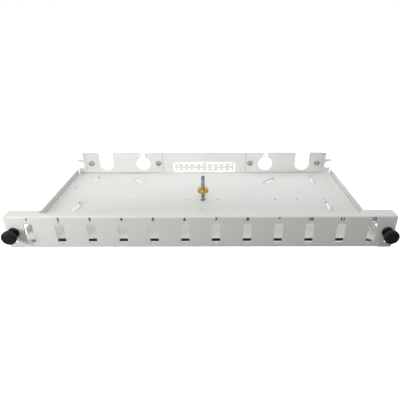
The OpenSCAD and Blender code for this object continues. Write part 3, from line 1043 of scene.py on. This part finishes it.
@dataclass
class SpliceStud:
    """The threaded stud in the middle of the floor and the thumb nut on it."""

    stud_d: float = 6.0
    pitch: float = 1.0
    chamfer: float = 0.8
    head_d: float = 9.0
    sheet: float = 1.2
    nut_d: float = 17.5
    nut_bevel: float = 0.5
    flutes: int = 60
    flute_depth: float = 0.32
    boss_d: float = 11.0
    face_groove: float = 0.3
    bore_gap: float = 0.08

    def build(self, zinc: bpy.types.Material, brass: bpy.types.Material) -> None:
        """Builds the stud and the nut.

        Args:
            zinc: The stud's plating.
            brass: The nut's metal.
        """
        self._stud(zinc)
        self._nut(brass)

    def _stud(self, zinc: bpy.types.Material) -> None:
        """The stud, with its flush head in the floor."""
        low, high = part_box("splice_stud")
        height = (high.z - low.z) / MM
        rod = threaded_rod("rod", self.stud_d, self.pitch, self.sheet * 0.5, height, self.chamfer)
        head = turned("head", [(self.head_d / 2 - 0.15, 0.0), (self.head_d / 2, 0.15),
                               (self.head_d / 2, self.sheet - 0.1), (self.head_d / 2 - 0.1, self.sheet)], 64)
        stud = rename(join([rod, head]), "splice_stud_threaded")
        smooth(stud, 32)
        settle(stud, Matrix.Translation((middle("splice_stud").x, middle("splice_stud").y, low.z)))
        dress(stud, zinc)
        hand_over(stud, FRAME_BODY, "zinc_steel", "splice_stud")

    def _nut(self, brass: bpy.types.Material) -> None:
        """The fluted nut, with a shallow groove in its top round the bore."""
        low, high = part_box("thumb_nut")
        height, radius, bevel = (high.z - low.z) / MM, self.nut_d / 2, self.nut_bevel
        boss = self.boss_d / 2
        nut = turned("thumb_nut_fluted", [
            (boss, 0.0), (radius - bevel, 0.0), (radius, bevel), (radius, height - bevel),
            (radius - bevel, height), (boss + 0.8, height), (boss + 0.5, height - self.face_groove),
            (boss + 0.2, height - self.face_groove), (boss, height), (4.0, height),
        ], 2 * self.flutes)
        step = 180 / self.flutes

        def is_flute(centre: Vector, normal: Vector) -> bool:
            """Whether a face is every second one round the nut's side."""
            turn = round((math.degrees(math.atan2(centre.y, centre.x)) - step / 2) / step)
            return abs(normal.z) < 0.1 and centre.xy.length > radius - 0.2 and turn % 2 == 0

        select_faces(nut, is_flute)
        bpy.ops.mesh.inset(thickness=0.08 * MM, use_individual=True)
        bpy.ops.transform.shrink_fatten(value=-self.flute_depth * MM)
        end_edit()
        hole = self.stud_d / 2 + self.bore_gap
        cut(nut, [turned("bore", [(hole + 0.5, -0.2), (hole + 0.3, 0.0), (hole, 0.3), (hole, height - 0.3),
                                  (hole + 0.3, height), (hole + 0.5, height + 0.2)], 64)])
        outward(nut)
        smooth(nut, 30)
        settle(nut, Matrix.Translation((middle("thumb_nut").x, middle("thumb_nut").y, low.z)))
        dress(nut, brass)
        hand_over(nut, "stud_nut", "brass", "thumb_nut")


# ---------------------------------------------------------------- studio


@dataclass(frozen=True)
class Softbox:
    """One soft light: where it hangs, what it is aimed at, its size, power, colour and beam in degrees."""

    name: str
    place: tuple[float, float, float]
    aim: tuple[float, float, float]
    size: tuple[float, float]
    power: float
    colour: tuple[float, float, float] = (1.0, 1.0, 1.0)
    beam: float = 180.0

    def hang(self) -> None:
        """Adds the light."""
        data = bpy.data.lights.new(self.name, "AREA")
        data.shape = "RECTANGLE"
        data.size, data.size_y = self.size
        data.energy = self.power
        data.color = self.colour
        data.spread = math.radians(self.beam)
        light = bpy.data.objects.new(self.name, data)
        light.location = self.place
        light.rotation_euler = (Vector(self.aim) - Vector(self.place)).to_track_quat("-Z", "Y").to_euler()
        bpy.context.scene.collection.objects.link(light)


@dataclass
class Studio:
    """The camera, the pale floor and the lights."""

    lens: float = 33.26
    sensor: float = 36.0
    shift: tuple[float, float] = (-0.0305, 0.0033)
    from_panel: tuple[float, float, float] = (14.5, -395.0, 260.1)
    pitch: float = 26.31
    roll: float = -0.11
    floor_size: float = 14.0
    floor_drop: float = 10.0
    # Painted shade on the floor: the size and middle, in metres, of a dark strip under the tray's front.
    shade: tuple[float, float] = (0.47, 0.06)
    painted_shade_middle: float = -0.0705
    sky_behind: float = 0.8
    sky_in_front: float = 0.1
    lights: tuple[Softbox, ...] = (
        Softbox("low_left", (-0.56, -0.42, 0.18), (-0.24, -0.12, 0.02), (0.14, 0.14), 2.3, (1.0, 0.985, 0.955)),
        Softbox("front", (0.0, -0.60, 0.50), (0.0, 0.0, 0.03), (0.8, 0.15), 1.9, (1.0, 0.99, 0.97)),
        Softbox("tray_beam", (0.0, -0.40, 0.80), (0.0, 0.16, 0.04), (0.5, 0.08), 0.19, beam=24.0),
        Softbox("overhead", (0.0, 0.30, 1.1), (0.0, 0.05, 0.0), (1.2, 0.6), 3.0),
    )

    def build(self) -> None:
        """Sets up the camera, the floor and the lights."""
        bpy.context.scene.view_settings.view_transform = "Standard"
        self._camera()
        self._floor()
        self._sky()
        for light in self.lights:
            light.hang()

    def _camera(self) -> None:
        """The camera, in front of the panel and above it, looking down at the tray."""
        low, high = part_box("front_panel")
        data = bpy.data.cameras.new("camera")
        data.lens = self.lens
        data.sensor_width = self.sensor
        data.sensor_fit = "HORIZONTAL"
        data.shift_x, data.shift_y = self.shift
        data.clip_start = 0.01
        camera = bpy.data.objects.new("camera", data)
        origin = Vector(((low.x + high.x) / 2, low.y, low.z))
        tilt = Matrix.Rotation(math.radians(90 - self.pitch), 4, "X")
        spin = Matrix.Rotation(math.radians(self.roll), 4, "Z")
        camera.matrix_world = Matrix.Translation(origin + Vector(self.from_panel) * MM) @ tilt @ spin
        bpy.context.scene.collection.objects.link(camera)
        bpy.context.scene.camera = camera

    def _floor(self) -> None:
        """White paper a little below the tray. Only the camera sees it white, so it throws little light up; a strip
        under the tray's front is left unlit grey as painted shade, for the front gap to look down into.
        """
        bpy.ops.object.select_all(action="DESELECT")
        bpy.ops.mesh.primitive_plane_add(
            size=self.floor_size, location=(0, 0, CAD_BOX[0][2] - self.floor_drop * MM)
        )
        floor = rename(bpy.context.object, "studio_floor")
        made = bpy.data.materials.new("studio_paper")
        made.use_nodes = True
        sheet = Sheet(made.node_tree)
        shader = made.node_tree.nodes["Principled BSDF"]
        shader.inputs["Base Color"].default_value = (0.3, 0.3, 0.3, 1)
        shader.inputs["Roughness"].default_value = 0.9
        shader.inputs["Specular IOR Level"].default_value = 0.1
        shader.inputs["Emission Color"].default_value = (1, 1, 1, 1)
        place = sheet.node("ShaderNodeTexCoord").outputs["Object"]
        across = sheet.node("ShaderNodeSeparateXYZ", None, Vector=place)
        beside = sheet.math("SUBTRACT", sheet.math("ABSOLUTE", across.outputs["X"]), self.shade[0] / 2)
        along = sheet.math("SUBTRACT", across.outputs["Y"], self.painted_shade_middle)
        ahead = sheet.math("SUBTRACT", sheet.math("ABSOLUTE", along), self.shade[1] / 2)
        # Painted shade: inside the strip the camera sees the grey paper without its white glow.
        clear = sheet.span(sheet.math("MAXIMUM", beside, ahead), -0.006, 0.0, 0.0, 1.0)
        seen = sheet.node("ShaderNodeLightPath").outputs["Is Camera Ray"]
        sheet.feed(shader.inputs["Emission Strength"], sheet.math("MULTIPLY", clear, seen))
        floor.data.materials.append(made)

    def _sky(self) -> None:
        """A light behind the tray that fades to shade in front of it. The camera sees it white."""
        world = bpy.data.worlds.new("studio_sky")
        world.use_nodes = True
        sheet = Sheet(world.node_tree)
        way = sheet.node("ShaderNodeTexCoord").outputs["Generated"]
        back = sheet.node("ShaderNodeSeparateXYZ", None, Vector=way).outputs["Y"]
        strength = sheet.span(back, -0.5, 0.5, self.sky_in_front, self.sky_behind)
        seen = sheet.node("ShaderNodeLightPath").outputs["Is Camera Ray"]
        sky = world.node_tree.nodes["Background"]
        sky.inputs["Color"].default_value = (1, 1, 1, 1)
        sheet.feed(sky.inputs["Strength"], sheet.math("MAXIMUM", strength, seen))
        bpy.context.scene.world = world


def main() -> None:
    """Builds the studio, the finishes and every sub-assembly, in order."""
    logging.basicConfig(level=logging.INFO, format="%(message)s")
    Studio().build()
    effects = Effects()
    coat, nylon, zinc, ink = (f.material(effects) for f in (POWDER_COAT, BLACK_NYLON, ZINC, NUMBER_INK))
    brass = turned_brass(middle("thumb_nut")).material(effects)
    SheetMetal().build(coat)
    PortNumbers().build(ink)
    for side in ("left", "right"):
        Latch(side).build(nylon)
    GlandScrews().build(zinc)
    SpliceStud().build(zinc, brass)


if __name__ == "__main__":
    main()
